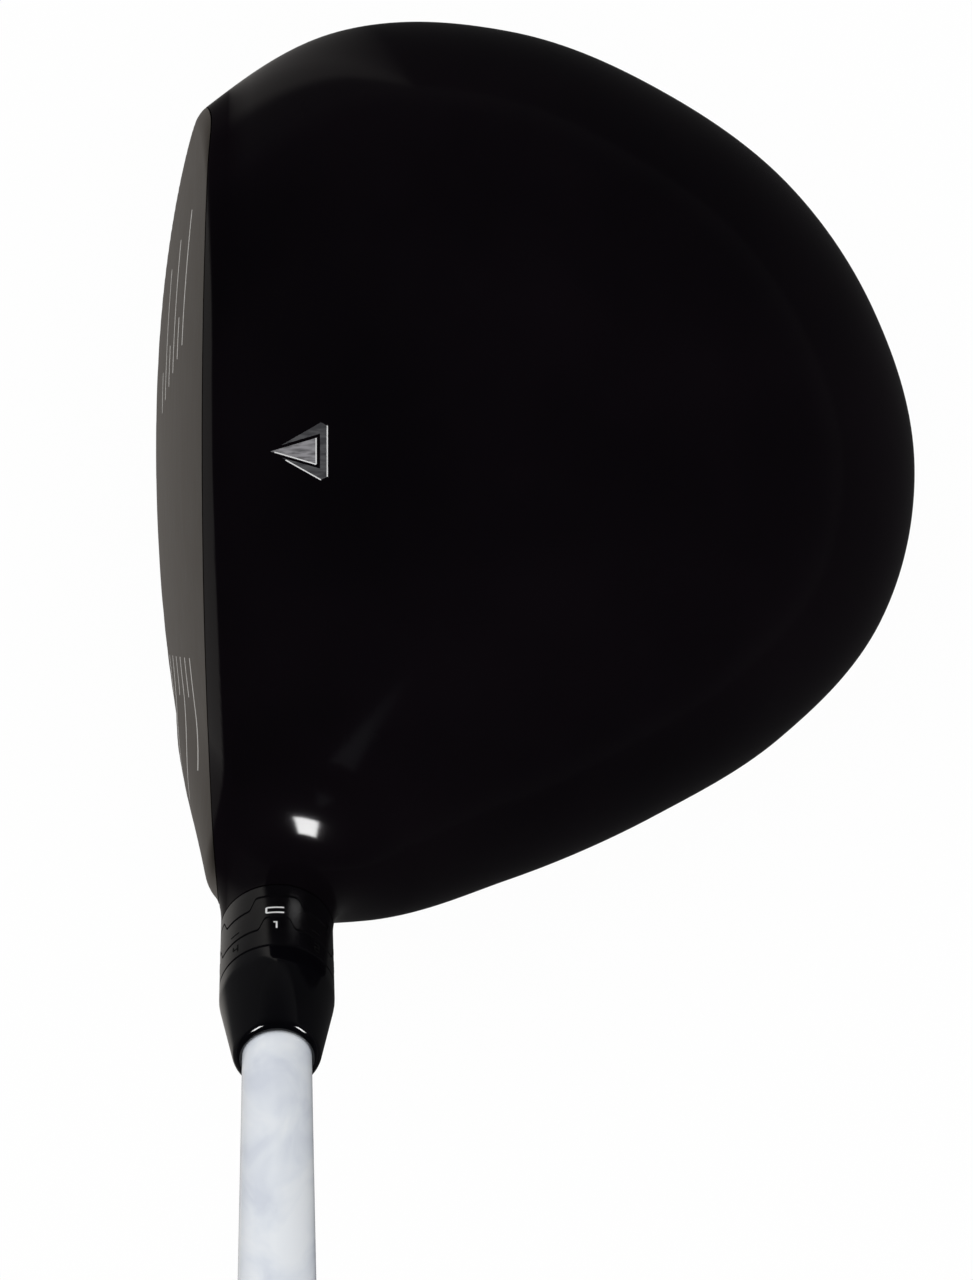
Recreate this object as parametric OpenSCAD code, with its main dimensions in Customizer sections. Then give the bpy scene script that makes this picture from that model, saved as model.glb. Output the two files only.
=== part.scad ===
// Golf driver, right handed, standing at address on the lowest point of its sole.
// X runs from toe (-) to heel (+), Y from the face (-) to the back (+), Z is up.

/* [Shaft axis] */
// Lie: angle of the shaft above the ground
lie = 58; // [56:0.5:60]
// Height of the hosel end above the ground
hosel_z = 50.7; // [49:0.1:53]
// Distance of the hosel end towards the heel
hosel_x = 60.5; // [59:0.5:62]
// Distance of the shaft plane in front of the sole contact
hosel_y = 32; // [31:0.5:33]
// Club length along the shaft axis, ground to butt
club_len = 1156; // [1080:1:1168]

/* [Head] */
// Height of the seam between crown and sole
seam_z = 27; // [24:0.5:30]
// Fall of the seam towards the back, per millimetre
seam_fall = 0.06; // [0:0.01:0.08]
// Height of the crown above the seam
crown_h = 34.5; // [32:0.5:37]
// Wall of the crown and of the sole casting
wall = 1; // [0.9:0.1:1.6]
// Loft of the face
loft = 10.5; // [8:0.5:13]
// Bulge and roll radius of the face
face_r = 290; // [250:10:330]
// Distance of the face centre in front of the sole contact
face_y = 46.3; // [46:0.1:47]
// Thickness of the face plate
face_t = 3; // [2.4:0.1:3.4]

/* [Adaptor] */
// Radius of the hosel end, index ring, collar and ferrule
hosel_r = 7.2; // [7:0.1:7.6]
// Radius of the sleeve that slides into the hosel
sleeve_r = 5.95; // [5.8:0.05:6]
// Length of the sleeve inside the hosel
sleeve_depth = 28; // [26:1:29]
// Height of the hosel end above its datum point
hosel_end = 5.5; // [4.5:0.1:6]
// Height of the index ring
ring_h = 4.3; // [3.5:0.1:5]
// Height of the indexing tabs
tab_h = 2.1; // [1.5:0.1:2.4]
// Height of the sleeve collar
collar_h = 3.4; // [3:0.1:5]
// Length of the ferrule
ferrule_len = 13; // [10:0.1:16]
// Radius of the hosel screw shank
screw_r = 2.5; // [2:0.1:2.6]
// Radius of the wrench port in the sole
port_r = 4.6; // [4.4:0.1:5]

/* [Shaft and grip] */
// Radius of the parallel shaft tip
tip_r = 4.25; // [4.25:0.05:4.45]
// Radius of the shaft butt
butt_r = 7.6; // [7.2:0.1:7.8]
// Length of the grip
grip_len = 270; // [250:1:280]
// Grip radius at the mouth
grip_mouth_r = 9.2; // [8.8:0.1:9.6]
// Grip radius at the butt
grip_butt_r = 13.3; // [12.5:0.1:14]
// Radius of the vent hole in the grip cap
vent_r = 1.5; // [1.2:0.1:2]

/* [Rear weight] */
// Distance of the weight behind the sole contact
weight_y = 38; // [36:0.5:40]
// Radius of the weight
weight_r = 8.9; // [8:0.1:9]
// Thickness of the weight
weight_t = 5.5; // [4:0.1:6]
// Tilt of the weight axis away from straight down
weight_tilt = 24; // [20:1:28]

/* [Hidden] */

fine = 96;
eps = 0.01;
fit = 0.05;

// Outline of the head seen from above: radius from the sole contact, every 22.5 degrees,
// from the heel round the back, the toe and the (virtual) front.
outline_r = [57.5, 53, 54, 57, 57.5, 56, 55.5, 56, 59.5, 63.5, 64, 70, 70, 72, 72, 68];
outline_n = len(outline_r);
crown_p = 2.2;
crown_q = 0.625;
sole_p = 2.4;
sole_q = 0.667;
phi_n = 60;
ring_n = 11;

// Heights along the shaft axis, measured from the hosel's datum point, grip side positive.
ring_s = hosel_end;
collar_s = ring_s + ring_h;
ferrule_s = collar_s + collar_h;
ferrule_end = ferrule_s + ferrule_len;
sleeve_s = -sleeve_depth;
tip_s = -19;
shoulder_t = 3;
shoulder_s = sleeve_s - shoulder_t;
washer_t = 0.8;
screw_head_h = 4.6;
screw_head_s = shoulder_s - washer_t - screw_head_h;
retainer_t = 1;
port_end = -42.5;
ground_s = -hosel_z / sin(lie);
cap_t = 4;
butt_s = ground_s + club_len - cap_t;
taper_s = 35;
grip_s = butt_s - grip_len;
tape_t = 0.2;
shaft_wall_tip = 1.9;
shaft_wall_butt = 0.9;
tab_w = 4.8;
tabs = [0, 90, 180, 270];
bore_r = sleeve_r + fit;
boss_r = weight_r + 2;
pocket_r = weight_r + fit;
weight_thread_r = 2;
weight_thread_len = 7;
weight_head_r = 3.6;
weight_head_t = 2.4;
weight_shank = 9;
screw_shank = 12;
seal_t = 0.5;
sole_pad_r = 9;
sole_pad_t = 1.6;

// Periodic smooth curve through the outline radii.
function ctrl(i) = outline_r[(i + 2 * outline_n) % outline_n];
function smooth(a, b, c, d, u) =
    0.5 * (2 * b + (c - a) * u + (2 * a - 5 * b + 4 * c - d) * u * u + (3 * b - a - 3 * c + d) * u * u * u);
function outline(phi) =
    let (t = phi / 360 * outline_n, i = floor(t))
    smooth(ctrl(i - 1), ctrl(i), ctrl(i + 1), ctrl(i + 2), t - i);

function seam(y) = seam_z - seam_fall * y;
function dome(rho, p, q) = pow(max(0, 1 - pow(rho, p)), q);

// A point of the crown (side 1) or the sole (side -1), inset by the wall thickness t.
function skin(side, phi, f, t) =
    let (r = (outline(phi) - t) * f, x = r * cos(phi), y = r * sin(phi), s = seam(y))
    side > 0
        ? [x, y, s + (crown_h - t) * dome(f, crown_p, crown_q)]
        : [x, y, s - (s - t) * dome(f, sole_p, sole_q)];

// Face: part of a sphere whose normal at the face centre is tilted up by the loft.
face_z = 30;
face_turn = 0.6;
face_c = [-face_r * cos(loft) * sin(face_turn),
          -face_y + face_r * cos(loft) * cos(face_turn),
          face_z - face_r * sin(loft)];
function before_face(p) = norm(p - face_c) - face_r;

// How far out a ray of the skin runs before it meets the face, as a fraction of the outline.
function reach(side, phi, t, lo = 0, hi = 1, n = 16) =
    before_face(skin(side, phi, 1, t)) <= 0 ? 1
    : n == 0 ? lo
    : let (m = (lo + hi) / 2)
      before_face(skin(side, phi, m, t)) > 0
        ? reach(side, phi, t, lo, m, n - 1)
        : reach(side, phi, t, m, hi, n - 1);

// One ring of the skin, from near the pole (j = 1) to its edge (j = ring_n).
function skin_ring(side, t, j) =
    let (f = 1 - pow(1 - j / ring_n, 2))
    [for (i = [0:phi_n - 1]) let (phi = 360 * i / phi_n) skin(side, phi, f * reach(side, phi, t), t)];
function skin_points(side, t) =
    [for (j = [1:ring_n]) each skin_ring(side, t, j)];

// Triangles of one skin; up = true turns them to look up.
function grid_faces(base, up) =
    [for (j = [0:ring_n - 2], i = [0:phi_n - 1])
        let (k = (i + 1) % phi_n, a = base + j * phi_n + i, b = base + j * phi_n + k,
             c = a + phi_n, d = b + phi_n)
        each (up ? [[a, b, c], [b, d, c]] : [[a, c, b], [b, c, d]])];
function pole_faces(base, pole, up) =
    [for (i = [0:phi_n - 1])
        let (a = base + i, b = base + (i + 1) % phi_n) up ? [pole, b, a] : [pole, a, b]];
function rim_faces(top, low, flip) =
    [for (i = [0:phi_n - 1])
        let (k = (i + 1) % phi_n, a = top + i, b = top + k, c = low + i, d = low + k)
        each (flip ? [[a, b, d], [a, d, c]] : [[a, d, b], [a, c, d]])];

// Closed solid between an upper and a lower skin that have the same number of points.
module skin_solid(upper, lower, upper_pole, lower_pole) {
    n = len(upper);
    last = n - phi_n;
    polyhedron(
        points = concat(upper, lower, [upper_pole, lower_pole]),
        faces = concat(grid_faces(0, true), pole_faces(0, 2 * n, true),
                       grid_faces(n, false), pole_faces(n, 2 * n + 1, false),
                       rim_faces(last, n + last, false)),
        convexity = 6);
}

module crown_shell()
    skin_solid(skin_points(1, 0), skin_points(1, wall), skin(1, 0, 0, 0), skin(1, 0, 0, wall));

module sole_shell()
    skin_solid(skin_points(-1, wall), skin_points(-1, 0), skin(-1, 0, 0, wall), skin(-1, 0, 0, 0));

// Everything inside the outer skin of the sole half.
module sole_volume() {
    lid = [for (j = [1:ring_n]) each [for (p = skin_ring(-1, 0, j)) [p[0], p[1], 60]]];
    skin_solid(lid, skin_points(-1, 0), [0, 0, 60], skin(-1, 0, 0, 0));
}

module face_ball(r)
    translate(face_c) sphere(r = r, $fn = fine);

// Local frame of the shaft: Z along the axis towards the grip, zero at the paint line.
module on_axis(s = 0)
    translate([hosel_x, -hosel_y, hosel_z]) rotate([0, 90 - lie, 0]) translate([0, 0, s]) children();

// Local frame of the rear weight: Z out of the sole.
weight_z = skin(-1, 90, weight_y / outline(90), 0)[2];
module on_weight(s = 0)
    translate([0, weight_y, weight_z]) rotate([180 + weight_tilt, 0, 0]) translate([0, 0, s]) children();

module rod(r, from, to)
    translate([0, 0, from]) cylinder(r = r, h = to - from, $fn = fine);

module tube(r_out, r_in, from, to)
    difference() {
        rod(r_out, from, to);
        rod(r_in, from - 1, to + 1);
    }

module spin(profile)
    rotate_extrude($fn = fine) polygon(profile);

// Tabs of an indexing joint, cut from a tube wall.
module tab_blocks(from, to, w, r_in)
    intersection() {
        tube(hosel_r, r_in, from, to);
        for (a = tabs)
            rotate([0, 0, a]) translate([r_in - 1, -w / 2, from])
                cube([hosel_r - r_in + 2, w, to - from]);
    }

// Outside of the hosel tube with its flare into the crown, as radius and height on the shaft axis.
flare_r = 11.1;
neck_front = 8.2;
hosel_profile = [[0, hosel_end], [hosel_r, hosel_end], [hosel_r, 0], [7.3, -3], [7.8, -6], [8.8, -9],
                 [flare_r, -12], [flare_r, -18], [hosel_r, -21], [hosel_r, shoulder_s],
                 [port_r + 1.4, shoulder_s], [port_r + 1.4, port_end], [0, port_end]];
module hosel_tube()
    color("#17161a")
    difference() {
        on_axis() spin(hosel_profile);
        translate([0, -hosel_y - neck_front - 60, 0]) cube([120, 60, 100]);
        on_axis() {
            rod(bore_r, sleeve_s, hosel_end + 1);
            rod(screw_r + 0.3, shoulder_s - 1, sleeve_s + 1);
            rod(port_r, port_end - 1, shoulder_s);
            tab_blocks(hosel_end - tab_h, hosel_end + 1, tab_w + 2 * fit, bore_r - 1);
        }
    }

module head_body()
    color("#17161a")
    difference() {
        union() {
            sole_shell();
            intersection() {
                on_weight() rod(boss_r, -weight_t - 9, -0.2);
                sole_volume();
            }
            rod(sole_pad_r, 0, sole_pad_t);
        }
        on_axis() rod(port_r + 0.6, ground_s - 4, shoulder_s);
        on_weight() {
            rod(pocket_r, -weight_t - seal_t, 12);
            rod(weight_thread_r + fit, -weight_t - seal_t - weight_thread_len, 0);
        }
    }

module face_plate()
    color("#8a857c")
    difference() {
        intersection() {
            face_ball(face_r);
            rotate([90, 0, 0]) linear_extrude(height = 80) polygon(face_outline());
        }
        face_ball(face_r - face_t);
        on_axis() rod(hosel_r + fit, -60, 10);
    }

// Opening of the casting and the crown seen along Y, less a small gap.
function front_half(side) =
    [for (i = [0:phi_n - 1])
        let (phi = 180 + 360 * i / phi_n, f = reach(side, phi, wall + fit))
        if (f < 1) let (p = skin(side, phi, f, wall + fit)) [p[0], p[2]]];
function reversed(a) = [for (i = [len(a) - 1:-1:0]) a[i]];
function face_outline() = concat(front_half(1), reversed(front_half(-1)));

module crown()
    color("#0a0a0c")
    difference() {
        crown_shell();
        on_axis() rod(flare_r + 2 * fit, -45, 12);
    }

module damping_pad()
    color("#d8c48a")
    translate([0, 0, sole_pad_t]) cylinder(r1 = 8, r2 = 6.5, h = 2.2, $fn = fine);

// Round part on the weight axis, drilled for its screw.
module rear_weight()
    color("#5c5c62")
    on_weight()
    difference() {
        rod(weight_r, -weight_t, 0);
        rod(weight_thread_r + 0.3, -weight_t - 1, 1);
        rod(weight_head_r + 0.2, -weight_head_t, 1);
    }

module weight_seal()
    color("#202022")
    on_weight() tube(weight_r - 0.4, weight_thread_r + 1, -weight_t - seal_t, -weight_t);

// Screw with a round head and a hexagonal socket; the head's face is at s, the shank below it.
module socket_screw(head_r, head_t, shank_r, shank_len, socket_r, socket_t)
    difference() {
        union() {
            rod(head_r, -head_t, 0);
            rod(shank_r, -head_t - shank_len, -head_t + eps);
        }
        translate([0, 0, -socket_t]) cylinder(r = socket_r, h = socket_t + 1, $fn = 6);
    }

module weight_screw()
    color("#9a9aa0")
    on_weight()
    socket_screw(weight_head_r, weight_head_t, weight_thread_r, weight_shank, 1.6, 1.5);

module screw_washer()
    color("#b0b0b4")
    on_axis() tube(port_r - 0.3, screw_r + 0.2, shoulder_s - washer_t, shoulder_s);

module screw_retainer()
    color("#3a3a3e")
    on_axis() tube(port_r, port_r - 1.4, screw_head_s - retainer_t - 0.2, screw_head_s - 0.2);

module hosel_screw()
    color("#8e8e94")
    on_axis(screw_head_s) mirror([0, 0, 1])
    socket_screw(port_r - 0.4, screw_head_h, screw_r, screw_shank, 2.4, 2.8);

module hosel_ring()
    color("#141316")
    on_axis() {
        difference() {
            tube(hosel_r, bore_r, ring_s, collar_s);
            tab_blocks(collar_s - tab_h, collar_s + 1, tab_w + 2 * fit, bore_r - 1);
        }
        tab_blocks(ring_s - tab_h, ring_s + eps, tab_w, bore_r);
    }

module hosel_sleeve()
    color("#1b1a1e")
    on_axis()
    difference() {
        union() {
            rod(sleeve_r, sleeve_s, collar_s + eps);
            rod(hosel_r, collar_s, ferrule_s);
            tab_blocks(collar_s - tab_h, collar_s + eps, tab_w, sleeve_r - 1);
        }
        rod(tip_r + fit, tip_s, ferrule_s + 1);
        rod(screw_r + fit, sleeve_s - 1, tip_s + 1);
    }

// Ferrule: a short cylinder, then a cone down to a lip around the shaft.
ferrule_lip_r = 5.4;
ferrule_straight = 2.5;
lip = 0.45;
module ferrule()
    color("#0b0b0d")
    on_axis()
    spin([[tip_r + fit, ferrule_s], [hosel_r, ferrule_s], [hosel_r, ferrule_s + ferrule_straight],
          [ferrule_lip_r, ferrule_end - lip], [ferrule_lip_r - lip, ferrule_end],
          [tip_r + fit, ferrule_end]]);

// Outer and inner radius of the shaft at a height on its axis.
function shaft_r(s) = s < taper_s ? tip_r : tip_r + (butt_r - tip_r) * (s - taper_s) / (butt_s - taper_s);
function shaft_bore(s) =
    shaft_r(s) - shaft_wall_tip - (shaft_wall_butt - shaft_wall_tip) * (s - tip_s) / (butt_s - tip_s);

module cone(r1, r2, from, to)
    translate([0, 0, from]) cylinder(r1 = r1, r2 = r2, h = to - from, $fn = fine);

module shaft()
    color("#e9ecf2")
    on_axis()
    difference() {
        union() {
            rod(tip_r, tip_s, taper_s);
            cone(tip_r, butt_r, taper_s, butt_s);
        }
        cone(shaft_bore(tip_s), shaft_bore(butt_s), tip_s - eps, butt_s + eps);
    }

module tip_plug()
    color("#c9b27c")
    on_axis() rod(shaft_bore(0) - 0.1, 4, 12);

module tip_weight()
    color("#b5964a")
    on_axis() rod(shaft_bore(tip_s) - 0.1, tip_s + 2, 4);

module grip_tape()
    color("#d9d2b8")
    on_axis()
    difference() {
        cone(shaft_r(grip_s + 4) + tape_t, butt_r + tape_t, grip_s + 4, butt_s);
        cone(shaft_r(grip_s + 4), butt_r, grip_s + 4 - eps, butt_s + eps);
    }

module grip()
    color("#1d1d1f")
    on_axis()
    difference() {
        cone(grip_mouth_r, grip_butt_r, grip_s, butt_s);
        cone(shaft_r(grip_s) + tape_t, butt_r + tape_t, grip_s - eps, butt_s + eps);
    }

module grip_cap()
    color("#151517")
    on_axis()
    spin([[vent_r, butt_s], [grip_butt_r, butt_s], [grip_butt_r, butt_s + 1.6],
          [grip_butt_r - 1, butt_s + 3.2], [grip_butt_r - 3, butt_s + cap_t],
          [vent_r, butt_s + cap_t]]);

head_body();
hosel_tube();
face_plate();
crown();
damping_pad();
rear_weight();
weight_seal();
weight_screw();
screw_washer();
screw_retainer();
hosel_screw();
hosel_ring();
hosel_sleeve();
ferrule();
tip_plug();
tip_weight();
shaft();
grip_tape();
grip();
grip_cap();
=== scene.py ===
"""Looks of the golf driver: fine skins for the head, adaptor, shaft and grip around the CAD frame.

Lengths are in millimetres inside the shape code and become metres when a mesh is made.
X runs from toe to heel, Y from the face to the back, Z is up.
"""

import math

import bpy
import numpy as np
from mathutils import Matrix, Vector


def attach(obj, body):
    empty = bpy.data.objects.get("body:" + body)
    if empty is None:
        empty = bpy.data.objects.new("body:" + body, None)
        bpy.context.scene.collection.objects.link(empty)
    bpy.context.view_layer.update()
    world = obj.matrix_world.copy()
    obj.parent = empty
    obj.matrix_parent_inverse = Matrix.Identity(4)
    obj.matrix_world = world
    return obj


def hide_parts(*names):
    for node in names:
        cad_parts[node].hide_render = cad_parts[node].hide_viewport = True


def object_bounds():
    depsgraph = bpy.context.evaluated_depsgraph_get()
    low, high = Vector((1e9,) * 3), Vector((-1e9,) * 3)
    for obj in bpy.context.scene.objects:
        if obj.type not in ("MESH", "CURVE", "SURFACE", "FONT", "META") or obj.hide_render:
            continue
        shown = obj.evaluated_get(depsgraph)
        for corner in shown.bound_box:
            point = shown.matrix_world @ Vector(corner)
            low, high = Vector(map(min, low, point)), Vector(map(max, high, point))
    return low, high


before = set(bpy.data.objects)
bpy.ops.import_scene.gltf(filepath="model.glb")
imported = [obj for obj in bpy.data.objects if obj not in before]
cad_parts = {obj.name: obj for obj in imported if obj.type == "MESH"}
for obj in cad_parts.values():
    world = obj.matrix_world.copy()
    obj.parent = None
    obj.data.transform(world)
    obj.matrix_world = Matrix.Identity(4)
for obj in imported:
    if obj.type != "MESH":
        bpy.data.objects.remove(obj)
cad_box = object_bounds()
MM = 0.001

# ---------------------------------------------------------------- driving dimensions
LIE = math.radians(58)
HOSEL = np.array([60.5, -32.0, 50.7])
AXIS = np.array([math.cos(LIE), 0.0, math.sin(LIE)])
TOP = np.array([-math.sin(LIE), 0.0, math.cos(LIE)])
SIDE = np.array([0.0, 1.0, 0.0])

SEAM_Z = 27.0
SEAM_FALL = 0.06
CROWN_H = 34.5
OUTLINE = [57.5, 53, 54, 57, 57.5, 56, 55.5, 56, 59.5, 63.5, 64, 70, 70, 72, 72, 68]
CROWN_P, CROWN_Q = 2.2, 0.625
SOLE_P, SOLE_Q = 2.4, 0.667

FACE_R = 290.0
LOFT = math.radians(10.5)
TURN = math.radians(0.6)
FACE_Y = 46.3
FACE_Z = 30.0
FACE_C = np.array([
    -FACE_R * math.cos(LOFT) * math.sin(TURN),
    -FACE_Y + FACE_R * math.cos(LOFT) * math.cos(TURN),
    FACE_Z - FACE_R * math.sin(LOFT),
])

HOSEL_R = 7.2
SLEEVE_R = 5.95
HOSEL_END = 5.5
RING_H = 4.3
TAB_H = 2.1
COLLAR_H = 3.4
FERRULE_LEN = 13.0
FERRULE_LIP_R = 5.4
FERRULE_STRAIGHT = 2.5
COLLAR_S = HOSEL_END + RING_H
FERRULE_S = COLLAR_S + COLLAR_H
FERRULE_END = FERRULE_S + FERRULE_LEN

TIP_R = 4.25
BUTT_R = 7.6
TAPER_S = 35.0
CLUB_LEN = 1156.0
CAP_T = 4.0
BUTT_S = -HOSEL[2] / math.sin(LIE) + CLUB_LEN - CAP_T
GRIP_LEN = 270.0
GRIP_S = BUTT_S - GRIP_LEN
GRIP_MOUTH_R = 9.2
GRIP_BUTT_R = 13.3

WEIGHT_Y = 38.0
WEIGHT_TILT = math.radians(24)
WEIGHT_R = 8.9
PORT_R = 4.6

NECK_BLEND = 11.0
FACE_EDGE = 1.2
PAINT_S = 1.0
GRID = 0.8


# ---------------------------------------------------------------- head as one smooth function
def outline(phi):
    """Radius of the head seen from above at the angle phi, on a smooth closed curve."""
    ctrl = np.array(OUTLINE)
    n = len(ctrl)
    t = np.mod(phi, 2 * math.pi) / (2 * math.pi) * n
    i = np.floor(t).astype(int)
    u = t - i
    a, b, c, d = (ctrl[(i + k) % n] for k in (-1, 0, 1, 2))
    return 0.5 * (2 * b + (c - a) * u + (2 * a - 5 * b + 4 * c - d) * u**2
                  + (3 * b - a - 3 * c + d) * u**3)


def seam(y):
    """Height of the joint between crown and sole."""
    return SEAM_Z - SEAM_FALL * y


def dome_value(p):
    """Zero on the crown and the sole, negative inside."""
    x, y, z = p[..., 0], p[..., 1], p[..., 2]
    rho = np.hypot(x, y) / outline(np.arctan2(y, x))
    s = seam(y)
    up = np.maximum(z - s, 0) / CROWN_H
    down = np.maximum(s - z, 0) / s
    crown = rho**CROWN_P + up ** (1 / CROWN_Q)
    sole = rho**SOLE_P + down ** (1 / SOLE_Q)
    return np.where(z > s, crown, sole) - 1


def gradient(f, p, h=0.04):
    """Central differences of f at the points p."""
    g = np.empty(p.shape)
    for k in range(3):
        step = np.zeros(3)
        step[k] = h
        g[..., k] = (f(p + step) - f(p - step)) / (2 * h)
    return g


def dome(p):
    """The dome's value scaled to a distance near its surface."""
    slope = np.linalg.norm(gradient(dome_value, p, 0.3), axis=-1)
    return dome_value(p) / np.maximum(slope, 0.012)


def axis_coords(p):
    """Height along the shaft axis, distance from it, and angle round it (0 faces up)."""
    q = p - HOSEL
    s = q @ AXIS
    a, b = q @ TOP, q @ SIDE
    return s, np.hypot(a, b), np.arctan2(b, a)


def beyond_face(p):
    """Distance from the sphere on which the face lies, negative inside it."""
    return np.linalg.norm(p - FACE_C, axis=-1) - FACE_R


def smooth_max(a, b, k):
    """The larger value, with a rounded change from one to the other over k."""
    h = np.maximum(k - np.abs(a - b), 0) / k
    return np.maximum(a, b) + h * h * k / 4


def smooth_min(a, b, k):
    return -smooth_max(-a, -b, k)


def head(p):
    """Signed distance-like value of the whole head skin: dome, cut by the face, joined to the neck."""
    body = smooth_max(dome(p), beyond_face(p), FACE_EDGE)
    s, r, _ = axis_coords(p)
    neck = np.maximum(r - HOSEL_R, s - 12)
    neck = np.maximum(neck, -s - 34)
    return smooth_min(body, neck, NECK_BLEND)


# ---------------------------------------------------------------- surface net
CORNERS = [(i, j, k) for i in (0, 1) for j in (0, 1) for k in (0, 1)]
EDGES = [(a, b) for a in range(8) for b in range(a + 1, 8)
         if sum(abs(CORNERS[a][k] - CORNERS[b][k]) for k in range(3)) == 1]


def surface_net(f, low, high, step):
    """Vertices and triangles of the zero surface of f, found on a grid and moved onto it."""
    axes = [np.arange(low[k], high[k] + step, step) for k in range(3)]
    n = [len(a) for a in axes]
    v = np.empty(n)
    for i, x in enumerate(axes[0]):
        y, z = np.meshgrid(axes[1], axes[2], indexing="ij")
        v[i] = f(np.stack([np.full(y.shape, x), y, z], -1))
    cells = tuple(k - 1 for k in n)
    corner = [v[i:i + cells[0], j:j + cells[1], k:k + cells[2]] for i, j, k in CORNERS]
    inside = [c < 0 for c in corner]
    count = sum(c.astype(np.int8) for c in inside)
    active = (count > 0) & (count < 8)
    where = np.argwhere(active)
    total = np.zeros((len(where), 3))
    hits = np.zeros(len(where))
    values = [c[active] for c in corner]
    for a, b in EDGES:
        va, vb = values[a], values[b]
        cross = (va < 0) != (vb < 0)
        t = np.where(cross, va / np.where(cross, va - vb, 1), 0)
        pa, pb = np.array(CORNERS[a]), np.array(CORNERS[b])
        total += np.where(cross, 1, 0)[:, None] * (pa + t[:, None] * (pb - pa))
        hits += cross
    verts = np.array([a[0] for a in axes]) + (where + total / hits[:, None]) * step
    index = -np.ones(cells, dtype=np.int64)
    index[active] = np.arange(len(where))
    quads = []
    for axis in range(3):
        u, w = [k for k in range(3) if k != axis]
        first = [slice(1, cells[k]) for k in range(3)]
        first[axis] = slice(0, cells[axis])
        sl0 = tuple(first)
        second = list(first)
        second[axis] = slice(1, cells[axis] + 1)
        v0, v1 = v[sl0], v[tuple(second)]
        at = np.argwhere((v0 < 0) != (v1 < 0))
        sign = (v0 < 0)[tuple(at.T)]
        base = at + np.array([0 if k == axis else 1 for k in range(3)])
        du, dw = np.zeros(3, int), np.zeros(3, int)
        du[u], dw[w] = 1, 1
        ring = [index[tuple((base - a * du - b * dw).T)] for a, b in ((1, 1), (0, 1), (0, 0), (1, 0))]
        q = np.stack(ring, -1)
        flip = sign if axis != 1 else ~sign
        q[~flip] = q[~flip][:, ::-1]
        quads.append(q)
    q = np.concatenate(quads)
    q = q[(q >= 0).all(1)]
    tris = np.concatenate([q[:, [0, 1, 2]], q[:, [0, 2, 3]]])
    for _ in range(4):
        g = gradient(f, verts)
        verts = verts - (f(verts) / np.maximum((g**2).sum(-1), 0.05))[:, None] * g
    return verts, tris


def clip(verts, tris, field):
    """The part of a triangle mesh where field is positive, cut exactly along its zero line."""
    keep = field > 0
    n_in = keep[tris].sum(1)
    whole = tris[n_in == 3]
    out, points, links = [whole], [], {}

    def cut(a, b):
        key = (a, b) if a < b else (b, a)
        if key not in links:
            t = field[a] / (field[a] - field[b])
            links[key] = len(verts) + len(points)
            points.append(verts[a] + t * (verts[b] - verts[a]))
        return links[key]

    extra = []
    for tri in tris[(n_in == 1) | (n_in == 2)]:
        k = [bool(keep[i]) for i in tri]
        odd = k.index(sum(k) == 1)
        a, b, c = (int(tri[(odd + j) % 3]) for j in range(3))
        ab, ac = cut(a, b), cut(a, c)
        if k[odd]:
            extra.append((a, ab, ac))
        else:
            extra += [(ab, b, c), (ab, c, ac)]
    if points:
        verts = np.concatenate([verts, np.array(points)])
        out.append(np.array(extra))
    tris = np.concatenate(out)
    used, flat = np.unique(tris, return_inverse=True)
    return verts[used], flat.reshape(-1, 3)


def open_edges(tris):
    """Directed edges that belong to one triangle only."""
    e = np.concatenate([tris[:, [0, 1]], tris[:, [1, 2]], tris[:, [2, 0]]])
    key = np.sort(e, 1)
    _, first, count = np.unique(key, axis=0, return_index=True, return_counts=True)
    return e[first[count == 1]]


# ---------------------------------------------------------------- toothed joints of the adaptor
TAB_ENDS = {"hosel": (20.5, 30), "collar": (11, 20)}
TAB_EVERY = 90


def tab_shift(angle, kind):
    """How far the joint between two rings dips towards the head: four tabs with slanted sides."""
    inner, outer = TAB_ENDS[kind]
    a = np.degrees(np.abs(np.mod(angle + math.pi / 4, math.pi / 2) - math.pi / 4))
    t = np.clip((outer - a) / (outer - inner), 0, 1)
    return TAB_H * t * t * (3 - 2 * t)


def round_angles():
    """Angles round the adaptor, closer together on the tabs' slanted sides."""
    found = [np.arange(0, 360, 3)]
    for centre in range(0, 360, TAB_EVERY):
        for inner, outer in TAB_ENDS.values():
            slope = np.linspace(inner, outer, 7)
            found += [(centre + slope) % 360, (centre - slope) % 360]
    return np.radians(np.unique(np.concatenate(found)))


ROUND = round_angles()


# ---------------------------------------------------------------- making objects
def make_object(name, verts, faces, material, body, slot, replaces=(), normals=None):
    """A mesh that rides on a body, in the place of the CAD nodes that it replaces."""
    mesh = bpy.data.meshes.new(name)
    mesh.from_pydata((np.asarray(verts) * MM).tolist(), [], [list(map(int, f)) for f in faces])
    mesh.update()
    if normals is not None:
        mesh.normals_split_custom_set_from_vertices(np.asarray(normals).tolist())
    else:
        mesh.shade_smooth()
    mesh.materials.append(material)
    obj = bpy.data.objects.new(name, mesh)
    bpy.context.collection.objects.link(obj)
    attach(obj, body)
    if replaces:
        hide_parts(*replaces)
    return obj


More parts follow.
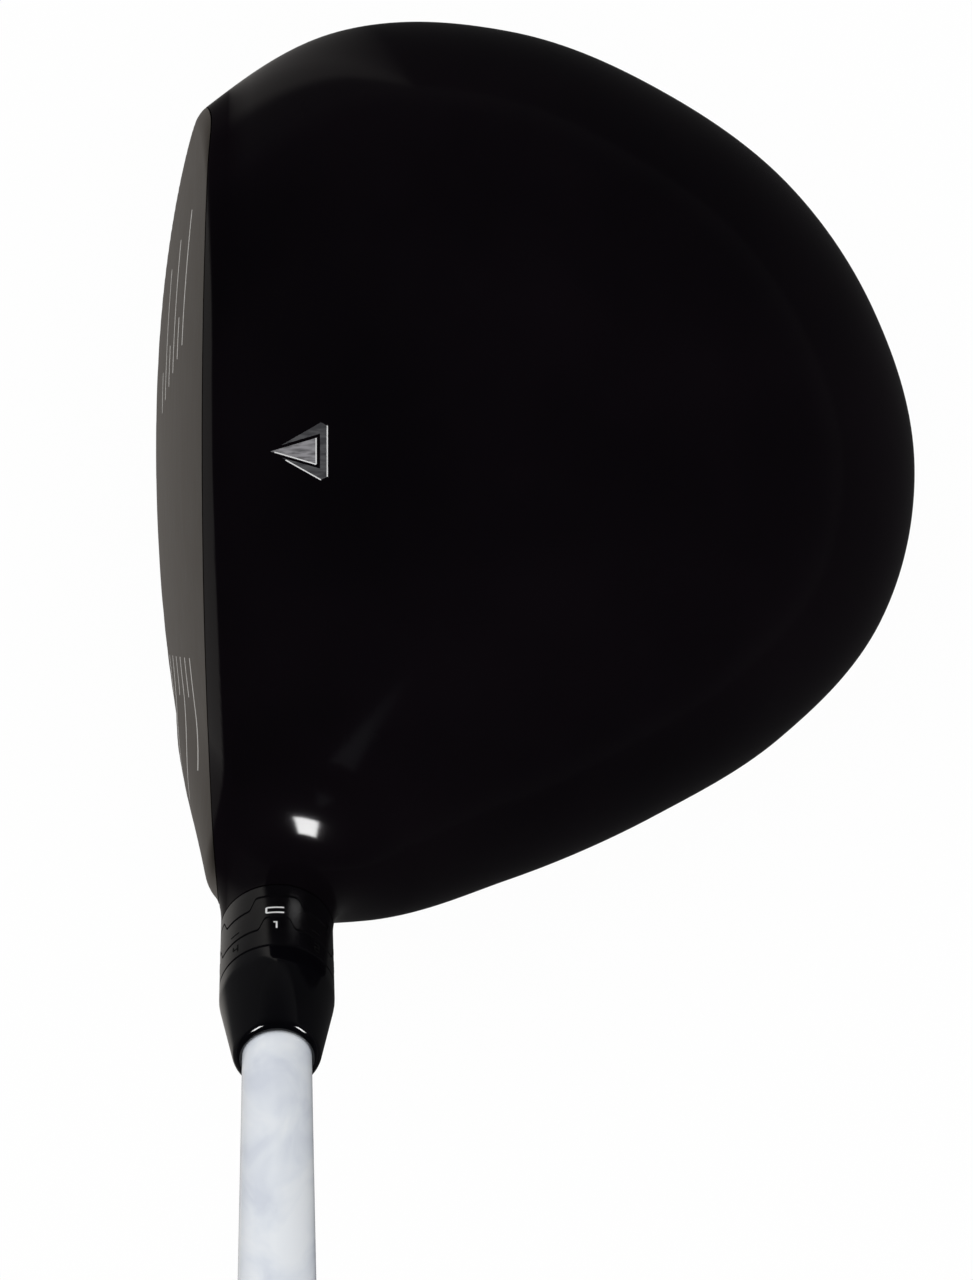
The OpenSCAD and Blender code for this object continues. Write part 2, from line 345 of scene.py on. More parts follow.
def with_rim(verts, tris, normals, into):
    """Adds a wall along every open edge, running by the vector into at each vertex."""
    edges = open_edges(tris)
    ids = np.unique(edges)
    place = {int(v): k for k, v in enumerate(ids)}
    outer, inner = verts[ids], verts[ids] + into[ids]
    base, low = len(verts), len(verts) + len(ids)
    wall, sum_n = [], np.zeros((len(ids), 3))
    for a, b in edges:
        i, j = place[int(a)], place[int(b)]
        wall.append((base + j, base + i, low + i))
        wall.append((base + j, low + i, low + j))
        n = np.cross(verts[a] - verts[b], into[a])
        sum_n[i] += n
        sum_n[j] += n
    sum_n /= np.maximum(np.linalg.norm(sum_n, axis=1), 1e-9)[:, None]
    return (np.concatenate([verts, outer, inner]), np.concatenate([tris, np.array(wall)]),
            np.concatenate([normals, sum_n, sum_n]))


def unit_normals(f, p):
    """Outward directions of the surface on which f is zero."""
    g = gradient(f, p)
    return g / np.linalg.norm(g, axis=-1)[:, None]


def on_axis(s, r, angle):
    """A point at height s on the shaft axis, radius r, angle from the upper side."""
    s, r, angle = np.broadcast_arrays(np.asarray(s, float), np.asarray(r, float), np.asarray(angle, float))
    return (HOSEL + s[..., None] * AXIS + (r * np.cos(angle))[..., None] * TOP
            + (r * np.sin(angle))[..., None] * SIDE)


def crease(obj, degrees):
    """Keeps edges sharper than the angle crisp."""
    obj.data.set_sharp_from_angle(angle=math.radians(degrees))


def ring_faces(rows, cols):
    """Faces between rings of points, where the last ring joins the first."""
    faces = []
    for i in range(rows):
        low, high = i * cols, (i + 1) % rows * cols
        for j in range(cols):
            k = (j + 1) % cols
            faces.append((low + j, low + k, high + k, high + j))
    return faces


def turned(profile, angle):
    """Points and faces of a closed loop turned round the shaft axis.

    Each point of the loop is (height, radius), with the name of a toothed joint where it follows one.
    """
    verts = []
    for s, r, *joint in profile:
        drop = tab_shift(angle, *joint) if joint else 0
        verts.append(on_axis(s - drop, r, angle))
    return np.concatenate(verts), ring_faces(len(profile), len(angle))


def joined(parts):
    """Several (points, faces) pairs as one."""
    verts, faces = [], []
    for v, f in parts:
        base = sum(len(x) for x in verts)
        verts.append(v)
        faces += [tuple(i + base for i in face) for face in f]
    return np.concatenate(verts), faces


def lathe(name, profile, material, body, slot, replaces=(), cols=128, sharp=32):
    """A turned piece: profile is a closed loop of (height, radius)."""
    angle = np.linspace(0, 2 * math.pi, cols, endpoint=False)
    verts, faces = turned(profile, angle)
    obj = make_object(name, verts, faces, material, body, slot, replaces)
    crease(obj, sharp)
    return obj


def stroke(p, q, w):
    """A straight bar of width w from p to q, as four corners."""
    p, q = np.array(p, float), np.array(q, float)
    d = (q - p) / np.linalg.norm(q - p)
    n = np.array([-d[1], d[0]]) * w / 2
    return [p - n, q - n, q + n, p + n]


def decal(name, quads, place, material, body, slot, lift=0.035, depth=0.15, step=0.8):
    """A thin raised print: flat four-cornered shapes laid on a surface by place(u, v)."""
    verts, tris = [], []
    for quad in quads:
        a, b, c, d = (np.array(x, float) for x in quad)
        nu = max(1, int(np.ceil(max(np.linalg.norm(b - a), np.linalg.norm(c - d)) / step)))
        nv = max(1, int(np.ceil(max(np.linalg.norm(d - a), np.linalg.norm(c - b)) / step)))
        base = sum(len(v) for v in verts)
        u, v = np.meshgrid(np.linspace(0, 1, nu + 1), np.linspace(0, 1, nv + 1))
        u, v = u.ravel()[:, None], v.ravel()[:, None]
        verts.append((1 - v) * ((1 - u) * a + u * b) + v * ((1 - u) * d + u * c))
        for j in range(nv):
            for i in range(nu):
                k = base + j * (nu + 1) + i
                tris += [(k, k + 1, k + nu + 2), (k, k + nu + 2, k + nu + 1)]
    flat = np.round(np.concatenate(verts), 4)
    flat, index = np.unique(flat, axis=0, return_inverse=True)
    tris = index.ravel()[np.array(tris)]
    points, normals = place(flat[:, 0], flat[:, 1])
    v, t, n = with_rim(points + normals * lift, tris, normals, -normals * depth)
    return make_object(name, v, t, material, body, slot, (), n)


# ---------------------------------------------------------------- materials
def node_material(name):
    """A new material with its nodes, links and shader."""
    mat = bpy.data.materials.new(name)
    mat.use_nodes = True
    nodes, links = mat.node_tree.nodes, mat.node_tree.links
    return mat, nodes, links, nodes["Principled BSDF"]


def set_inputs(node, **values):
    """Sets sockets by name, with _ for each blank."""
    for key, value in values.items():
        node.inputs[key.replace("_", " ")].default_value = value


def add(nodes, kind, **settings):
    """A new node with its properties and sockets set."""
    node = nodes.new(kind)
    for key, value in settings.items():
        if key in node.bl_rna.properties:
            setattr(node, key, value)
        else:
            set_inputs(node, **{key: value})
    return node


def ramp(nodes, stops):
    """A colour ramp with stops of (position, colour)."""
    node = nodes.new("ShaderNodeValToRGB")
    while len(node.color_ramp.elements) < len(stops):
        node.color_ramp.elements.new(0.5)
    for element, (pos, color) in zip(node.color_ramp.elements, stops):
        element.position = pos
        element.color = (*color, 1)
    return node


def noise_bump(nodes, links, shader, scale, strength, distance, detail=3, stretch=(1, 1, 1)):
    """Fine surface relief from a noise in object space."""
    coord = nodes.new("ShaderNodeTexCoord")
    mapping = add(nodes, "ShaderNodeMapping", Scale=stretch)
    noise = add(nodes, "ShaderNodeTexNoise", Scale=scale, Detail=detail)
    bump = add(nodes, "ShaderNodeBump", Strength=strength, Distance=distance)
    links.new(coord.outputs["Object"], mapping.inputs["Vector"])
    links.new(mapping.outputs["Vector"], noise.inputs["Vector"])
    links.new(noise.outputs["Fac"], bump.inputs["Height"])
    links.new(bump.outputs["Normal"], shader.inputs["Normal"])
    return noise.outputs["Fac"]


def varied(nodes, links, shader, socket, source, low, high):
    """Moves a number on the shader between two values with a texture."""
    span = add(nodes, "ShaderNodeMapRange", To_Min=low, To_Max=high)
    links.new(source, span.inputs["Value"])
    links.new(span.outputs["Result"], shader.inputs[socket])


def coloured(nodes, links, shader, source, stops):
    """Colours the shader by a ramp over a texture."""
    colors = ramp(nodes, stops)
    links.new(source, colors.inputs["Fac"])
    links.new(colors.outputs["Color"], shader.inputs["Base Color"])


def mottle(color, dark, light):
    """Ramp stops from a darker to a lighter tone of one colour."""
    return [(0.3, tuple(c * dark for c in color)), (0.7, tuple(c * light for c in color))]


def crown_paint():
    """Black paint whose reflection is turned down along the front edge, a painted shade that keeps that
    edge dark.
    """
    mat, nodes, links, bsdf = node_material("crown_paint")
    noise_bump(nodes, links, bsdf, 900, 0.02, 0.00003)
    coord = nodes.new("ShaderNodeTexCoord")
    cloud = add(nodes, "ShaderNodeTexNoise", Scale=18, Detail=4)
    links.new(coord.outputs["Object"], cloud.inputs["Vector"])
    stops = [(0.35, (0.0020, 0.0015, 0.0022)), (0.65, (0.0038, 0.0027, 0.0038))]
    coloured(nodes, links, bsdf, cloud.outputs["Fac"], stops)
    varied(nodes, links, bsdf, "Roughness", cloud.outputs["Fac"], 0.08, 0.16)
    # Painted shade: the reflection level drops towards the face edge so that the pale band on the floor is
    # not seen mirrored there.
    split = nodes.new("ShaderNodeSeparateXYZ")
    gloss = add(nodes, "ShaderNodeMapRange", From_Min=-0.0385, From_Max=-0.0355, To_Min=0.004, To_Max=0.1)
    links.new(coord.outputs["Object"], split.inputs[0])
    links.new(split.outputs["Y"], gloss.inputs["Value"])
    links.new(gloss.outputs["Result"], bsdf.inputs["Specular IOR Level"])
    return mat


def satin_black(name, color, rough, grain=500):
    """Dark paint, anodising or nylon with a fine grain."""
    mat, nodes, links, bsdf = node_material(name)
    noise = noise_bump(nodes, links, bsdf, grain, 0.08, 0.00004)
    coloured(nodes, links, bsdf, noise, mottle(color, 0.8, 1.2))
    varied(nodes, links, bsdf, "Roughness", noise, rough * 0.85, rough * 1.15)
    return mat


def brushed_metal(name, color, rough, stretch, scale):
    """Metal with fine lines along the axis whose stretch is smallest."""
    mat, nodes, links, bsdf = node_material(name)
    set_inputs(bsdf, Metallic=1.0)
    noise = noise_bump(nodes, links, bsdf, scale, 0.25, 0.00005, 5, stretch)
    coloured(nodes, links, bsdf, noise, mottle(color, 0.72, 1.2))
    varied(nodes, links, bsdf, "Roughness", noise, rough * 0.75, rough * 1.25)
    return mat


def pearl_white():
    """Pale lacquer with slanting swirls under a clear coat."""
    mat, nodes, links, bsdf = node_material("pearl_white")
    set_inputs(bsdf, Coat_Weight=0.5, Coat_Roughness=0.06)
    coord = nodes.new("ShaderNodeTexCoord")
    turn = add(nodes, "ShaderNodeMapping", Rotation=(0.5, 0.9, 0.2), Scale=(1.0, 1.0, 0.22))
    swirl = add(nodes, "ShaderNodeTexNoise", Scale=190, Detail=3, Distortion=0.6)
    links.new(coord.outputs["Object"], turn.inputs["Vector"])
    links.new(turn.outputs["Vector"], swirl.inputs["Vector"])
    stops = [(0.36, (0.72, 0.76, 0.84)), (0.5, (0.81, 0.85, 0.91)), (0.64, (0.88, 0.91, 0.95))]
    coloured(nodes, links, bsdf, swirl.outputs["Fac"], stops)
    varied(nodes, links, bsdf, "Roughness", swirl.outputs["Fac"], 0.18, 0.3)
    return mat


def rubber(name, color):
    """Matt rubber with a coarse skin."""
    mat, nodes, links, bsdf = node_material(name)
    noise = noise_bump(nodes, links, bsdf, 2600, 0.35, 0.00008, 4)
    coloured(nodes, links, bsdf, noise, mottle(color, 0.7, 1.35))
    varied(nodes, links, bsdf, "Roughness", noise, 0.55, 0.8)
    return mat


def painted_line(name, color, rough=0.35, metallic=0.0):
    """Paint, print, paper or filler that is slightly uneven."""
    mat, nodes, links, bsdf = node_material(name)
    set_inputs(bsdf, Metallic=metallic)
    noise = noise_bump(nodes, links, bsdf, 1500, 0.05, 0.00003)
    coloured(nodes, links, bsdf, noise, mottle(color, 0.85, 1))
    varied(nodes, links, bsdf, "Roughness", noise, rough * 0.8, rough * 1.2)
    return mat


def hatched(name, low, high):
    """Satin paint with fine lines that run from the face to the back."""
    mat, nodes, links, bsdf = node_material(name)
    set_inputs(bsdf, Roughness=0.45)
    noise = noise_bump(nodes, links, bsdf, 2600, 0.1, 0.00003, 2, (1, 0.05, 1))
    coloured(nodes, links, bsdf, noise, [(0.38, low), (0.6, high)])
    return mat


MAT = {
    "crown": crown_paint(),
    "sole": satin_black("sole_black", (0.012, 0.011, 0.013), 0.3, grain=300),
    "hosel": satin_black("hosel_black", (0.0022, 0.0019, 0.0026), 0.2),
    "ring": satin_black("anodised_ring", (0.0024, 0.0021, 0.0027), 0.24),
    "sleeve": satin_black("anodised_sleeve", (0.002, 0.0018, 0.0025), 0.22),
    "ferrule": satin_black("ferrule_black", (0.0012, 0.0011, 0.0018), 0.09, grain=200),
    "face": brushed_metal("brushed_titanium", (0.104, 0.087, 0.073), 0.4, (0.03, 1, 1), 2500),
    "steel": brushed_metal("turned_steel", (0.5, 0.5, 0.52), 0.3, (1, 1, 1), 300),
    "aluminium": brushed_metal("turned_aluminium", (0.62, 0.62, 0.64), 0.28, (1, 1, 1), 300),
    "brass": brushed_metal("turned_brass", (0.62, 0.45, 0.18), 0.3, (1, 1, 1), 300),
    "shaft": pearl_white(),
    "grip": rubber("grip_rubber", (0.022, 0.022, 0.024)),
    "cap": rubber("cap_rubber", (0.018, 0.018, 0.02)),
    "seal": rubber("seal_rubber", (0.03, 0.03, 0.03)),
    "score": painted_line("score_silver", (0.86, 0.85, 0.82), 0.3, 0.6),
    "mark": hatched("mark_silver", (0.09, 0.088, 0.095), (0.24, 0.235, 0.25)),
    "frame_mark": hatched("mark_grey", (0.035, 0.035, 0.04), (0.07, 0.07, 0.075)),
    # Pale colour of the strokes along the aiming mark's edges: painted highlights.
    "mark_painted_glint": painted_line("mark_painted_glint", (0.72, 0.72, 0.72)),
    "digit": painted_line("digit_white", (0.80, 0.80, 0.80)),
    "engraved": painted_line("engraved_black", (0.003, 0.003, 0.003), 0.9),
    "hot_melt": painted_line("hot_melt", (0.62, 0.52, 0.32), 0.6),
    "cork": painted_line("cork", (0.5, 0.36, 0.2), 0.8),
    "tape": painted_line("grip_tape_paper", (0.74, 0.69, 0.56), 0.8),
    "plastic": satin_black("black_nylon", (0.03, 0.03, 0.032), 0.5),
}


# ---------------------------------------------------------------- head skins
def weight_frame():
    """Centre of the rear weight on the sole and the direction out of it."""
    rho = WEIGHT_Y / float(outline(np.array(math.pi / 2)))
    s = seam(WEIGHT_Y)
    z = s - s * max(0.0, 1 - rho**SOLE_P) ** SOLE_Q
    return np.array([0.0, WEIGHT_Y, z]), np.array([0.0, math.sin(WEIGHT_TILT), -math.cos(WEIGHT_TILT)])


WEIGHT_P, WEIGHT_OUT = weight_frame()
UNDERSIDE_Z = 25.0
FAR_AWAY = 9.0
GAP = 0.07
SKIN = 1.0
FACE_DEPTH = 1.0
BARE_S = -2.5
NECK_PATCH = np.array([48.0, -28.5, 50.3])
NECK_PATCH_R = 9.0


def paint_line(x):
    """Where the black paint ends at the top of the face, seen from above."""
    heel, toe = np.maximum(x - 35, 0), np.maximum(-38 - x, 0)
    return -41.6 + 0.0004 * x**2 + 0.0012 * heel**2 + 0.006 * toe**2


def off_weight_axis(p):
    """Distance from the axis of the back weight."""
    q = p - WEIGHT_P
    return np.linalg.norm(q - (q @ WEIGHT_OUT)[:, None] * WEIGHT_OUT, axis=1)


def head_skins():
    """The head's outer skin, cut into crown, face and sole along their joints; returns the neck's patch."""
    verts, tris = surface_net(head, (-66, -54, -3), (74, 63, 68), GRID)
    verts, tris = clip(verts, tris, PAINT_S - axis_coords(verts)[0])
    paint = smooth_min(beyond_face(verts) + FACE_DEPTH, paint_line(verts[:, 0]) - verts[:, 1], 0.6)
    paint = smooth_min(paint, BARE_S - axis_coords(verts)[0], 1.5)
    face_v, face_t = clip(verts, tris, paint - GAP)
    rest_v, rest_t = clip(verts, tris, -paint - GAP)
    above = rest_v[:, 2] - seam(rest_v[:, 1])
    crown_v, crown_t = clip(rest_v, rest_t, above - GAP)
    sole_v, sole_t = clip(rest_v, rest_t, -above - GAP)
    s, r, _ = axis_coords(sole_v)
    sole_v, sole_t = clip(sole_v, sole_t, np.maximum(r - PORT_R, s + 20))
    away = off_weight_axis(sole_v) - WEIGHT_R - 0.15
    sole_v, sole_t = clip(sole_v, sole_t, np.where(sole_v[:, 2] < UNDERSIDE_Z, away, FAR_AWAY))
    for name, v, t, mat, slot, node in (
        ("crown_skin", crown_v, crown_t, "crown", "crown", "crown"),
        ("face_skin", face_v, face_t, "face", "face", "face_plate"),
        ("sole_skin", sole_v, sole_t, "sole", "casting", "head_body"),
    ):
        n = unit_normals(head, v)
        into = -n * SKIN
        if name == "sole_skin":
            s, r, _ = axis_coords(v)
            into[(r < PORT_R + 0.1) & (s < -25)] = AXIS * 9
            into[(off_weight_axis(v) < WEIGHT_R + 0.25) & (v[:, 2] < UNDERSIDE_Z)] = -WEIGHT_OUT * 6
        v, t, n = with_rim(v, t, n, into)
        v = np.clip(v, *(np.array(corner) / MM for corner in cad_box))
        if name == "crown_skin":
            inner = np.linalg.norm(v[t].mean(1) - NECK_PATCH, axis=1) < NECK_PATCH_R
            neck = make_object("neck_skin", v, t[inner], MAT[mat], "head", slot, (node,), n)
            t = t[~inner]
        make_object(name, v, t, MAT[mat], "head", slot, (node,), n)
    return neck


neck_skin = head_skins()


# ---------------------------------------------------------------- marks on the head
def on_crown(x, y):
    """Points and normals of the crown above (x, y)."""
    rho = np.hypot(x, y) / outline(np.arctan2(y, x))
    z = seam(y) + CROWN_H * (1 - rho**CROWN_P) ** CROWN_Q
    p = np.stack([x, y, z], -1)
    return p, unit_normals(dome_value, p)


def on_face(x, z):
    """Points and normals of the head's skin in front of (x, z)."""
    y = FACE_C[1] - np.sqrt(FACE_R**2 - (x - FACE_C[0]) ** 2 - (z - FACE_C[2]) ** 2)
    p = np.stack([x, y, z], -1)
    for _ in range(4):
        p = p - head(p)[:, None] * (p - FACE_C) / FACE_R
    return p, unit_normals(head, p)


def score_lines():
    """Long and short lines in turn on each side of the bare middle of the face."""
    quads = []
    for k in range(6):
        long_one = k % 2 == 0
        z = 35.4 - 4.0 * k
        reach = min(15.0 + 2.2 * k, 21.0) if long_one else 5.4
        quads.append(stroke((26.6, z), (26.6 + reach, z - 0.03 * reach), 0.5))
        z = 37.2 - 3.4 * k
        inner = -15.2 + 1.6 * k
        quads.append(stroke((inner - (18.0 if long_one else 5.6), z), (inner, z), 0.5))
    decal("score_lines", quads, on_face, MAT["score"], "head", "face", 0.02, 0.15, 1.5)


def aiming_mark():
    """A triangle inside the two arms and the back bar of a larger one, pointing at the face, with pale
    strokes on some edges as painted highlights.
    """
    tip, back, half = -32.8, -27.1, 1.65
    quads = [[(0, tip), (half * 0.5, (tip + back) / 2), (half, back), (0, back)],
             [(0, tip), (0, back), (-half, back), (-half * 0.5, (tip + back) / 2)]]
    decal("aiming_triangle", quads, on_crown, MAT["mark"], "head", "crown")
    quads = []
    for side in (1, -1):
        arm = [(0.8 * side, -31.4), (3.6 * side, -26.5), (3.2 * side, -25.7), (2.2 * side, -26.6)]
        quads.append(arm[::side])
    quads.append([(-2.2, -26.6), (2.2, -26.6), (3.2, -25.7), (-3.2, -25.7)])
    decal("aiming_frame", quads, on_crown, MAT["frame_mark"], "head", "crown")
    # Pale thin strokes on the back bars and on the heel-side edges of the triangle and of one arm: painted
    # highlights standing for glints on the mark's bevels.
    lines = [((-half, back), (half, back)), ((half, back), (0.1, tip + 0.5)), ((-3.2, -25.7), (3.2, -25.7)),
             ((3.6, -26.5), (1.1, -30.9))]
    edges = [stroke(p, q, 0.15) for p, q in lines]
    decal("aiming_painted_glints", edges, on_crown, MAT["mark_painted_glint"], "head", "crown", 0.06)


score_lines()
aiming_mark()


# ---------------------------------------------------------------- adaptor
BEVEL = 0.22
CREASE = 30
PORT_END = -42.5
PORT_FLOOR = -31.0
SEAT_S = -28.0
BORE_R = 6.0
SCREW_HOLE_R = 2.8
TIP_SEAT_S = -19.2


def adaptor():
    """The hosel, index ring, sleeve and ferrule; returns the ferrule."""
    tube = turned([
        (PORT_END, PORT_R), (PORT_FLOOR, PORT_R), (PORT_FLOOR, SCREW_HOLE_R), (SEAT_S, SCREW_HOLE_R),
        (SEAT_S, BORE_R), (HOSEL_END - 0.3, BORE_R, "hosel"), (HOSEL_END - 0.03, 6.2, "hosel"),
        (HOSEL_END - 0.03, HOSEL_R - BEVEL, "hosel"), (HOSEL_END - BEVEL, HOSEL_R, "hosel"),
        (PAINT_S + 0.3, HOSEL_R), (PAINT_S + 0.05, HOSEL_R - 0.2), (PAINT_S - 0.4, 6.95),
        (-20, 6.9), (PORT_END, BORE_R),
    ], ROUND)
    obj = make_object("hosel_tube_skin", *tube, MAT["hosel"], "head", "casting", ("hosel_tube",))
    crease(obj, CREASE)

    ring = turned([
        (HOSEL_END + 0.03, 6.02, "hosel"), (COLLAR_S - 0.03, 6.02, "collar"),
        (COLLAR_S - 0.03, HOSEL_R - BEVEL, "collar"), (COLLAR_S - BEVEL, HOSEL_R, "collar"),
        (HOSEL_END + BEVEL, HOSEL_R, "hosel"), (HOSEL_END + 0.03, HOSEL_R - BEVEL, "hosel"),
    ], ROUND)
    obj = make_object("index_ring_skin", *ring, MAT["ring"], "index_ring", "ring", ("hosel_ring",))
    crease(obj, CREASE)

    collar = turned([
        (COLLAR_S + 0.03, SLEEVE_R - 0.4, "collar"), (FERRULE_S - 0.03, SLEEVE_R - 0.4),
        (FERRULE_S - 0.03, HOSEL_R - BEVEL), (FERRULE_S - BEVEL, HOSEL_R),
        (COLLAR_S + BEVEL, HOSEL_R, "collar"), (COLLAR_S + 0.03, HOSEL_R - BEVEL, "collar"),
    ], ROUND)
    shank = turned([
        (FERRULE_S - 0.1, TIP_R + 0.05), (FERRULE_S - 0.1, SLEEVE_R - 0.3), (COLLAR_S - 3, SLEEVE_R),
        (SEAT_S + 0.8, SLEEVE_R), (SEAT_S, SLEEVE_R - 0.7), (SEAT_S, 2.6), (TIP_SEAT_S, 2.6),
        (TIP_SEAT_S, TIP_R + 0.05),
    ], ROUND)
    sleeve = joined([collar, shank])
    obj = make_object("sleeve_skin", *sleeve, MAT["sleeve"], "club", "sleeve", ("hosel_sleeve",))
    crease(obj, CREASE)

    shoulder = FERRULE_S + FERRULE_STRAIGHT
    side = [(shoulder - 0.6, HOSEL_R), (shoulder, HOSEL_R - 0.02), (shoulder + 0.6, HOSEL_R - 0.1),
            (FERRULE_END - 1.05, FERRULE_LIP_R + 0.08)]
    lip = [(FERRULE_END - 1.0 + 0.95 * math.sin(a), FERRULE_LIP_R - 0.88 + 0.9 * math.cos(a))
           for a in np.radians(np.linspace(15, 88, 9))]
    outside = [(FERRULE_S + 0.03, HOSEL_R - BEVEL), (FERRULE_S + BEVEL, HOSEL_R)] + side + lip
    profile = [(FERRULE_S + 0.03, TIP_R + 0.06)] + outside + [
        (FERRULE_END - 0.12, TIP_R + 0.2), (FERRULE_END - 0.35, TIP_R + 0.06)]
    return lathe("ferrule_skin", profile[::-1], MAT["ferrule"], "club", "ferrule", ("ferrule",), sharp=40)


def round_print(name, strokes, angle, s, material, body, slot, width=0.22):
    """Strokes printed round the adaptor: u runs round it, v towards the head."""
    def place(u, v):
        a = math.radians(angle) + u / HOSEL_R
        return on_axis(s - v, HOSEL_R, a), np.cos(a)[:, None] * TOP + np.sin(a)[:, None] * SIDE

    quads = [stroke(p, q, width) for p, q in strokes]
    decal(name, quads, place, material, body, slot, 0.02, 0.1, 0.5)


def path(*points):
    """The straight strokes that join points in turn."""
    return list(zip(points[:-1], points[1:]))


W, T = 0.4, 0.66
DIGITS = {
    1: path((-0.32, 0.55), (0.06, 0.55)) + path((0.08, 0.66), (0.08, -0.66)),
    2: path((-W, T), (W, T), (W, 0), (-W, 0), (-W, -T), (W, -T)),
    3: path((-W, T), (W, T), (W, -T), (-W, -T)) + path((-0.1, 0), (W, 0)),
    4: path((-W, T), (-W, 0), (W, 0)) + path((W, T), (W, -T)),
}

BRACKET = path((1.15, 0.5), (-1.1, 0.5), (-1.1, -0.5), (1.15, -0.5))
DASH = path((-0.7, 0), (0.7, 0))


def adaptor_marks():
    """Plain numbers on the collar and marks on the ring, eight of each; the set one is white."""
    for k in range(8):
        angle = -1 + 45 * k
        low = tab_shift(np.array(math.radians(45.0 * k)), "collar")
        shade = MAT["digit"] if k == 0 else MAT["engraved"]
        s = COLLAR_S + 1.65 - float(low) * 1.05
        round_print(f"collar_number_{k + 1}", DIGITS[k % 4 + 1], angle, s, shade, "club", "sleeve")
        bar = BRACKET if k == 0 else DASH
        s = COLLAR_S - 1.25 - float(low) * 1.08
        round_print(f"ring_mark_{k + 1}", bar, angle - 1, s, shade, "index_ring", "ring", 0.25)


ferrule_skin = adaptor()
adaptor_marks()


# ---------------------------------------------------------------- shaft and grip
def shaft_radius(s):
    """The shaft's outer radius at a height: a straight tip, then a taper."""
    return TIP_R + (BUTT_R - TIP_R) * max(0.0, (s - TAPER_S) / (BUTT_S - TAPER_S))


def shaft():
    """The hollow tapered shaft."""
    heights = [-18.9, TAPER_S] + list(np.linspace(TAPER_S + 40, BUTT_S - 0.05, 24))
    outside = [(s, shaft_radius(s)) for s in heights]
    inside = [(s, shaft_radius(s) - 1.2) for s in heights[::-1]]
    lathe("shaft_skin", (outside + inside)[::-1], MAT["shaft"], "club", "shaft", ("shaft",), cols=160)


def groove(t, width):
    """1 in a narrow band round each whole number, 0 elsewhere."""
    off = np.abs(t - np.round(t))
    return np.clip((width - off) / (width * 0.5), 0, 1)


def grip():
    """A tapered rubber sleeve with a diamond cut pattern between plain ring grooves."""
    cols = 224
    angle = np.linspace(0, 2 * math.pi, cols, endpoint=False)
    rows = [(GRIP_S + 0.05, shaft_radius(GRIP_S) + 0.2, 0), (GRIP_S + 0.05, GRIP_MOUTH_R - 0.8, 0)]
    for s in np.arange(GRIP_S + 0.9, BUTT_S - 0.02, 0.85):
        f = (s - GRIP_S) / GRIP_LEN
        rows.append((s, GRIP_MOUTH_R + (GRIP_BUTT_R - GRIP_MOUTH_R) * f - 0.03, 1))
    rows += [(BUTT_S - 0.02, GRIP_BUTT_R - 0.05, 0), (BUTT_S - 0.02, BUTT_R + 0.2, 0)]
    verts = []
    for s, r, cut in rows:
        along = s - GRIP_S
        turns = angle * 14 / (2 * math.pi)
        diamonds = np.maximum(groove(turns + along / 17, 0.11), groove(turns - along / 17, 0.11))
        ends = min(1.0, max(0.0, (along - 24) / 3), max(0.0, (GRIP_LEN - 16 - along) / 3))
        ringed = along < 20 or along > GRIP_LEN - 12
        rings = float(groove(np.array(along / 4), 0.2)) if ringed else 0
        depth = cut * (0.42 * diamonds * ends + 0.5 * rings)
        verts.append(on_axis(s, r - depth, angle))
    faces = [(a, d, c, b) for a, b, c, d in ring_faces(len(rows), cols)]
    obj = make_object("grip_skin", np.concatenate(verts), faces, MAT["grip"], "club", "grip", ("grip",))
    crease(obj, 50)
    rounding = ((1.5, 13.2), (2.3, 12.75), (3.1, 12.15), (3.55, 11.2), (3.85, 10.2))
    edge = [(BUTT_S + h, r) for h, r in rounding]
    cap = [(BUTT_S + 0.02, 1.5), (BUTT_S + 0.02, GRIP_BUTT_R - 0.3), (BUTT_S + 0.3, GRIP_BUTT_R - 0.05)]
    cap += edge + [(BUTT_S + CAP_T - 0.1, 8), (BUTT_S + CAP_T - 0.5, 7.6), (BUTT_S + CAP_T - 0.5, 5),
                   (BUTT_S + CAP_T - 0.02, 4.6), (BUTT_S + CAP_T - 0.02, 1.5)]
    lathe("grip_cap_skin", cap[::-1], MAT["cap"], "club", "cap", ("grip_cap",), sharp=40)


shaft()
grip()


# ---------------------------------------------------------------- CAD nodes that stay
KEPT = {
    "rear_weight": "aluminium", "weight_seal": "seal", "weight_screw": "steel", "hosel_screw": "steel",
    "screw_washer": "steel", "screw_retainer": "plastic", "damping_pad": "hot_melt",
    "tip_plug": "cork", "tip_weight": "brass", "grip_tape": "tape",
}
for node, material in KEPT.items():
    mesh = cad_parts[node].data
    mesh.materials.clear()
    mesh.materials.append(MAT[material])


# ---------------------------------------------------------------- stage, light and camera
def light_paths(nodes, links, *outputs):
    """1 for the given kinds of ray, 0 for the others."""
    path_node = nodes.new("ShaderNodeLightPath")
    total = path_node.outputs[outputs[0]]
    for name in outputs[1:]:
        more = add(nodes, "ShaderNodeMath", operation="MAXIMUM")
        links.new(total, more.inputs[0])
        links.new(path_node.outputs[name], more.inputs[1])
        total = more.outputs[0]
    return total


FLOOR_HALF = 6.0
FLOOR_DROP = 0.0003
FLOOR_WHITE = 0.97
WORLD_LEVEL = 0.74


